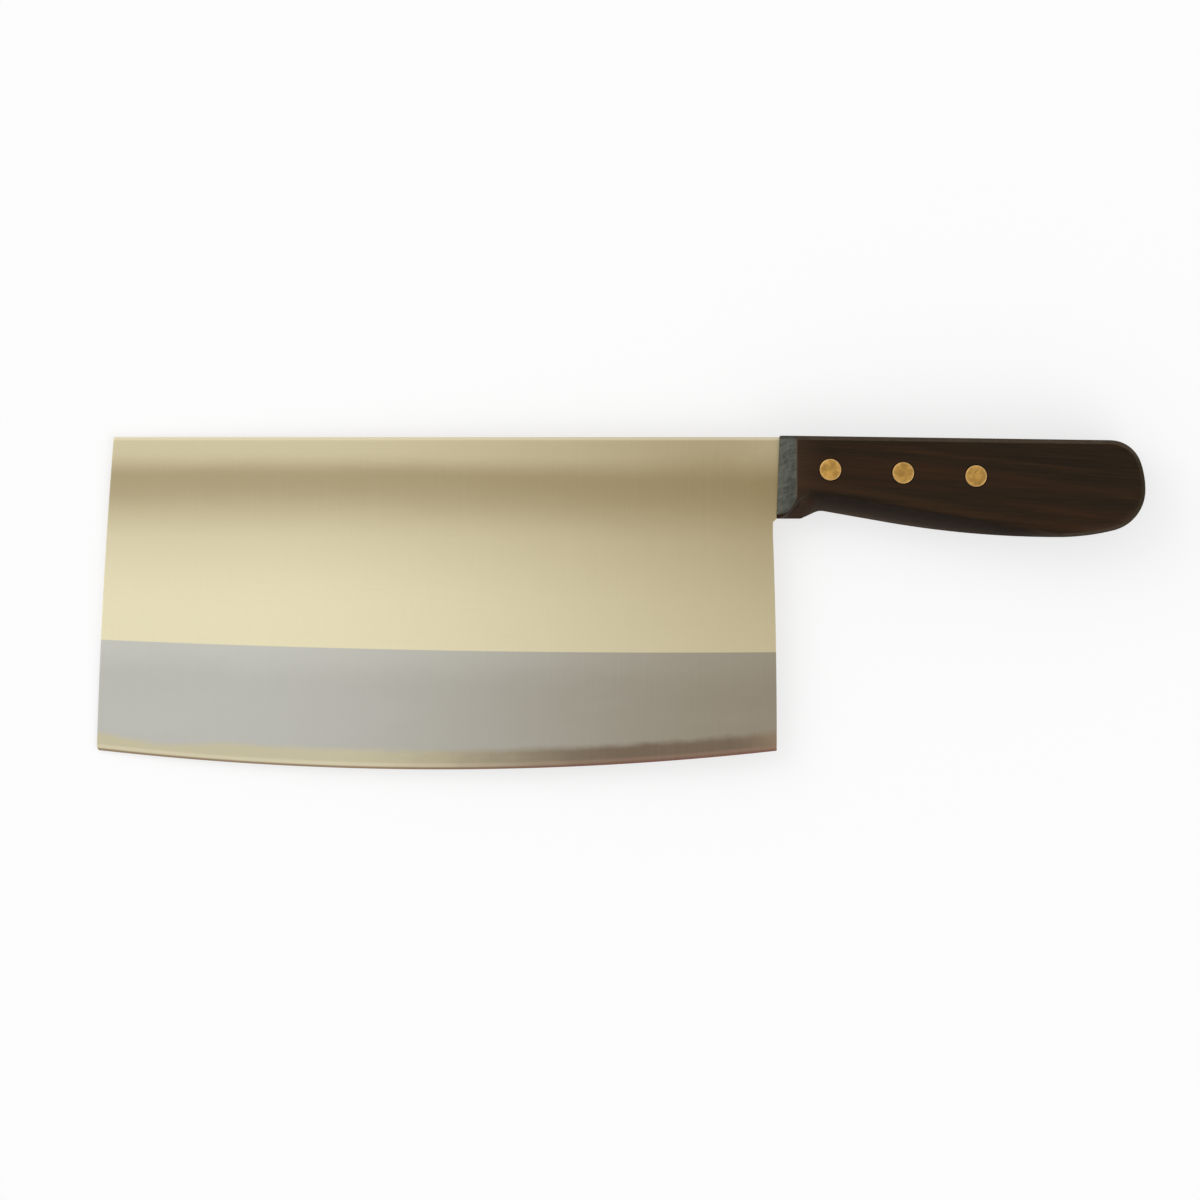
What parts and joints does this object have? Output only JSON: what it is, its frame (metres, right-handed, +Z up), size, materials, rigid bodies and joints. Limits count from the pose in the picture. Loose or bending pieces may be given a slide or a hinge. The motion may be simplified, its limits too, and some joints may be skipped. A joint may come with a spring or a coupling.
{
  "type": "chinese cleaver",
  "caption": "Thin rectangular slicing cleaver lying on its side: curved ground edge, half tang, one-piece dark hardwood handle with bevelled front and brass rivets.",
  "frame": {"origin": "middle of the overall footprint, at the height of the handle's lower side, with the cleaver lying on its side", "axes": "+X along the spine from the nose of the blade to the butt of the handle, +Y across the blade from the cutting edge to the spine, +Z up through the thickness"},
  "size_m": [0.3468, 0.1105, 0.02],
  "materials": {
    "steel": "satin, finely brushed above the grind line and matte grey below it",
    "rosewood": "oiled satin dark hardwood, end grain grey on the front bevel",
    "brass": "worn satin brass ground flush with the wood"
  },
  "bodies": {
    "root": {"blade": "steel", "handle": "rosewood", "front_rivet_tube": "brass", "front_rivet_post": "brass", "middle_rivet_tube": "brass", "middle_rivet_post": "brass", "rear_rivet_tube": "brass", "rear_rivet_post": "brass"}
  },
  "joints": []
}
